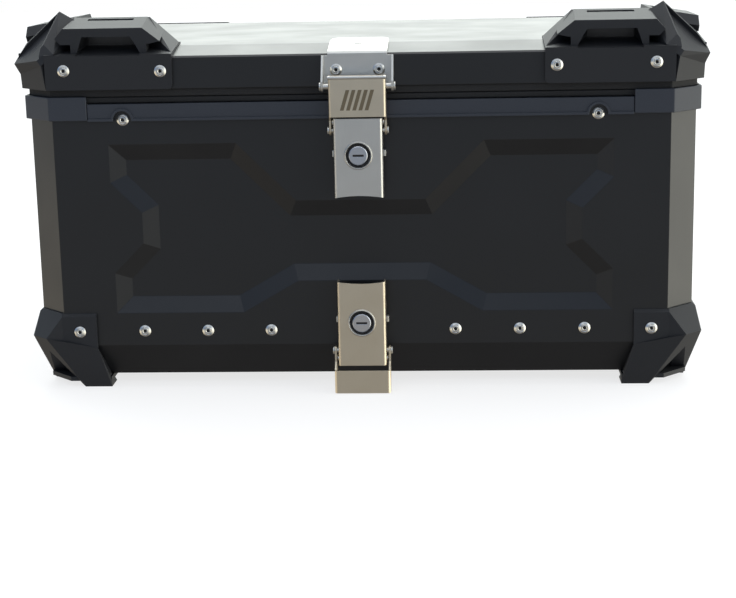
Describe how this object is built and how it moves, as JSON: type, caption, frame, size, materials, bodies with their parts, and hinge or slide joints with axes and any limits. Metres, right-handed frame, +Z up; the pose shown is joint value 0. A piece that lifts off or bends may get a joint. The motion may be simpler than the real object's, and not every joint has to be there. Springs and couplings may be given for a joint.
{
  "type": "motorcycle top case",
  "caption": "Hard aluminium luggage case for a rear rack, with a hinged lid, moulded corner guards with strap loops, and two locking lever latches.",
  "frame": {"origin": "under the middle of the overall box, on the plane of the feet", "axes": "+X along the case's width, to the viewer's right when the latches face the viewer; the latches face -Y; +Z up"},
  "size_m": [0.572, 0.4066, 0.317],
  "materials": {
    "powder_coated_aluminium": "satin black powder coat",
    "guard_plastic": "moulded black, fine texture",
    "rim_plastic": "moulded blue black",
    "seal_rubber": "matt black",
    "stainless_steel": "satin",
    "lock_chrome": "turned, satin chrome",
    "rivet_aluminium": "plain"
  },
  "bodies": {
    "case": {"body_shell": "powder_coated_aluminium", "bottom_pan": "powder_coated_aluminium", "foot_guard_front_left": "guard_plastic", "foot_guard_front_right": "guard_plastic", "foot_guard_rear_left": "guard_plastic", "foot_guard_rear_right": "guard_plastic", "rim_corner_front_left": "rim_plastic", "rim_corner_front_right": "rim_plastic", "rim_corner_rear_left": "rim_plastic", "rim_corner_rear_right": "rim_plastic", "rim_rail_front": "rim_plastic", "rim_rail_rear": "rim_plastic", "rim_rail_left": "rim_plastic", "rim_rail_right": "rim_plastic", "rim_gasket": "seal_rubber", "rear_hook_plate": "stainless_steel", "row_rivet_left_1": "rivet_aluminium", "row_rivet_left_2": "rivet_aluminium", "row_rivet_left_3": "rivet_aluminium", "row_rivet_right_1": "rivet_aluminium", "row_rivet_right_2": "rivet_aluminium", "row_rivet_right_3": "rivet_aluminium", "foot_rivet_left": "rivet_aluminium", "foot_rivet_right": "rivet_aluminium", "rim_rivet_left": "rivet_aluminium", "rim_rivet_right": "rivet_aluminium", "hinge_leaf_body_left": "powder_coated_aluminium", "hinge_leaf_body_right": "powder_coated_aluminium", "hinge_pin_left": "stainless_steel", "hinge_pin_right": "stainless_steel", "upper_latch_base": "stainless_steel", "upper_lever_pin": "stainless_steel", "lower_latch_base": "stainless_steel", "lower_lever_pin": "stainless_steel"},
    "lid": {"lid_shell": "powder_coated_aluminium", "lid_rim": "seal_rubber", "lid_guard_front_left": "guard_plastic", "lid_guard_front_right": "guard_plastic", "lid_guard_rear_left": "guard_plastic", "lid_guard_rear_right": "guard_plastic", "latch_bracket": "stainless_steel", "keeper_pin_left": "stainless_steel", "keeper_pin_right": "stainless_steel", "hinge_leaf_lid_left": "powder_coated_aluminium", "hinge_leaf_lid_right": "powder_coated_aluminium"},
    "upper_lever": {"upper_lever": "stainless_steel", "upper_lock_bezel": "lock_chrome", "upper_link_pin_left": "stainless_steel", "upper_link_pin_right": "stainless_steel"},
    "upper_link": {"upper_link": "stainless_steel"},
    "upper_lock": {"upper_lock_cylinder": "lock_chrome", "upper_lock_cam": "stainless_steel"},
    "lower_lever": {"lower_lever": "stainless_steel", "lower_lock_bezel": "lock_chrome", "lower_link_pin_left": "stainless_steel", "lower_link_pin_right": "stainless_steel"},
    "lower_link": {"lower_link": "stainless_steel"},
    "lower_lock": {"lower_lock_cylinder": "lock_chrome", "lower_lock_cam": "stainless_steel"}
  },
  "joints": [
    {"name": "lid_hinge", "type": "hinge", "parent": "case", "child": "lid", "pos_m": [0, 0.19875, 0.2484], "axis": [-1, 0, 0], "range_deg": [0, 100]},
    {"name": "upper_lever_pivot", "type": "hinge", "parent": "case", "child": "upper_lever", "pos_m": [0, -0.19125, 0.226], "axis": [-1, 0, 0], "range_deg": [0, 92]},
    {"name": "upper_link_pivot", "type": "hinge", "parent": "upper_lever", "child": "upper_link", "pos_m": [0, -0.19045, 0.2195], "axis": [-1, 0, 0], "range_deg": [-98, 0]},
    {"name": "upper_lock_turn", "type": "hinge", "parent": "upper_lever", "child": "upper_lock", "pos_m": [0, -0.20025, 0.1998], "axis": [0, 1, 0], "range_deg": [0, 90]},
    {"name": "lower_lever_pivot", "type": "hinge", "parent": "case", "child": "lower_lever", "pos_m": [0, -0.19125, 0.0283], "axis": [1, 0, 0], "range_deg": [0, 95]},
    {"name": "lower_link_pivot", "type": "hinge", "parent": "lower_lever", "child": "lower_link", "pos_m": [0, -0.19045, 0.0348], "axis": [1, 0, 0], "range_deg": [-95.5, 0]},
    {"name": "lower_lock_turn", "type": "hinge", "parent": "lower_lever", "child": "lower_lock", "pos_m": [0, -0.20025, 0.0601], "axis": [0, 1, 0], "range_deg": [0, 90]}
  ],
  "couplings": [
    {"joint": "upper_link_pivot", "follows": "upper_lever_pivot", "ratio": -1.06},
    {"joint": "lower_link_pivot", "follows": "lower_lever_pivot", "ratio": -1}
  ]
}
